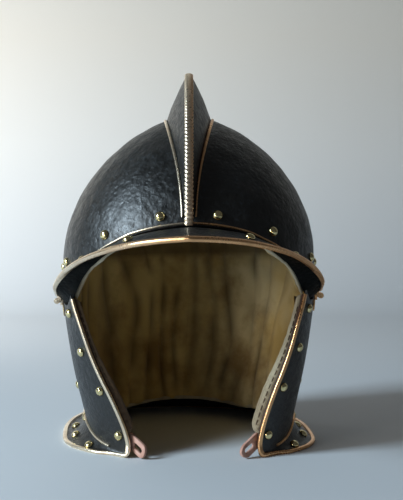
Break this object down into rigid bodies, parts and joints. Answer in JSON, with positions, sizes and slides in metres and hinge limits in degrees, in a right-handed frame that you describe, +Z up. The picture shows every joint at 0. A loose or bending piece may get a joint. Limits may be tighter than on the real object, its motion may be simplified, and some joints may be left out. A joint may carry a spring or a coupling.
{
  "type": "burgonet",
  "caption": "Open helmet with a high comb, a fixed peak over the brow, two hinged cheek pieces and a flared neck guard, with rope-edged strips, domed rivets and a gathered lining.",
  "frame": {"origin": "middle of the helmet's box at floor height, where the flange and the cheek tips stand", "axes": "+Z up through the comb, -Y out of the face opening, +X to the wearer's left"},
  "size_m": [0.218, 0.3022, 0.3021],
  "materials": {
    "black_iron": "rough blackened iron with hammer marks and a dull sheen",
    "brass": "worn brass edging with a copper tone",
    "rivet_brass": "polished yellow-green brass",
    "linen": "gathered olive-beige linen with brown stains",
    "tan_leather": "worn tan-pink leather",
    "dark_leather": "dark reddish-brown leather"
  },
  "bodies": {
    "helmet": {"skull": "black_iron", "skull_lining": "linen", "comb": "black_iron", "comb_ridge": "brass", "comb_trim": "brass", "peak": "black_iron", "peak_rim": "brass", "peak_trim": "brass", "neck_guard": "black_iron", "neck_rim": "brass", "neck_trim": "brass", "hinge_upper_left": "brass", "rivet_skull_left_1": "rivet_brass", "rivet_skull_left_2": "rivet_brass", "rivet_skull_left_3": "rivet_brass", "rivet_skull_left_4": "rivet_brass", "rivet_skull_left_5": "rivet_brass", "rivet_peak_left_1": "rivet_brass", "rivet_peak_left_2": "rivet_brass", "rivet_neck_left_1": "rivet_brass", "hinge_upper_right": "brass", "rivet_skull_right_1": "rivet_brass", "rivet_skull_right_2": "rivet_brass", "rivet_skull_right_3": "rivet_brass", "rivet_skull_right_4": "rivet_brass", "rivet_skull_right_5": "rivet_brass", "rivet_peak_right_1": "rivet_brass", "rivet_peak_right_2": "rivet_brass", "rivet_neck_right_1": "rivet_brass"},
    "cheek_left": {"cheek_left": "black_iron", "cheek_edging_left": "brass", "flange_rim_left": "brass", "flange_trim_left": "brass", "leather_band_left": "dark_leather", "cheek_lining_left": "linen", "hinge_lower_left": "brass", "leather_loop_left": "tan_leather", "rivet_cheek_left_front_1": "rivet_brass", "rivet_cheek_left_front_2": "rivet_brass", "rivet_cheek_left_front_3": "rivet_brass", "rivet_cheek_left_front_4": "rivet_brass", "rivet_cheek_left_rear": "rivet_brass", "rivet_flange_left_1": "rivet_brass", "rivet_flange_left_2": "rivet_brass"},
    "cheek_right": {"cheek_right": "black_iron", "cheek_edging_right": "brass", "flange_rim_right": "brass", "flange_trim_right": "brass", "leather_band_right": "dark_leather", "cheek_lining_right": "linen", "hinge_lower_right": "brass", "leather_loop_right": "tan_leather", "rivet_cheek_right_front_1": "rivet_brass", "rivet_cheek_right_front_2": "rivet_brass", "rivet_cheek_right_front_3": "rivet_brass", "rivet_cheek_right_front_4": "rivet_brass", "rivet_cheek_right_rear": "rivet_brass", "rivet_flange_right_1": "rivet_brass", "rivet_flange_right_2": "rivet_brass"}
  },
  "joints": [
    {"name": "cheek_left_hinge", "type": "hinge", "parent": "helmet", "child": "cheek_left", "pos_m": [0.1066, 0.00697, 0.12163], "axis": [0, -1, 0], "range_deg": [0, 60]},
    {"name": "cheek_right_hinge", "type": "hinge", "parent": "helmet", "child": "cheek_right", "pos_m": [-0.1066, 0.00697, 0.11737], "axis": [0, 1, 0], "range_deg": [0, 60]}
  ]
}
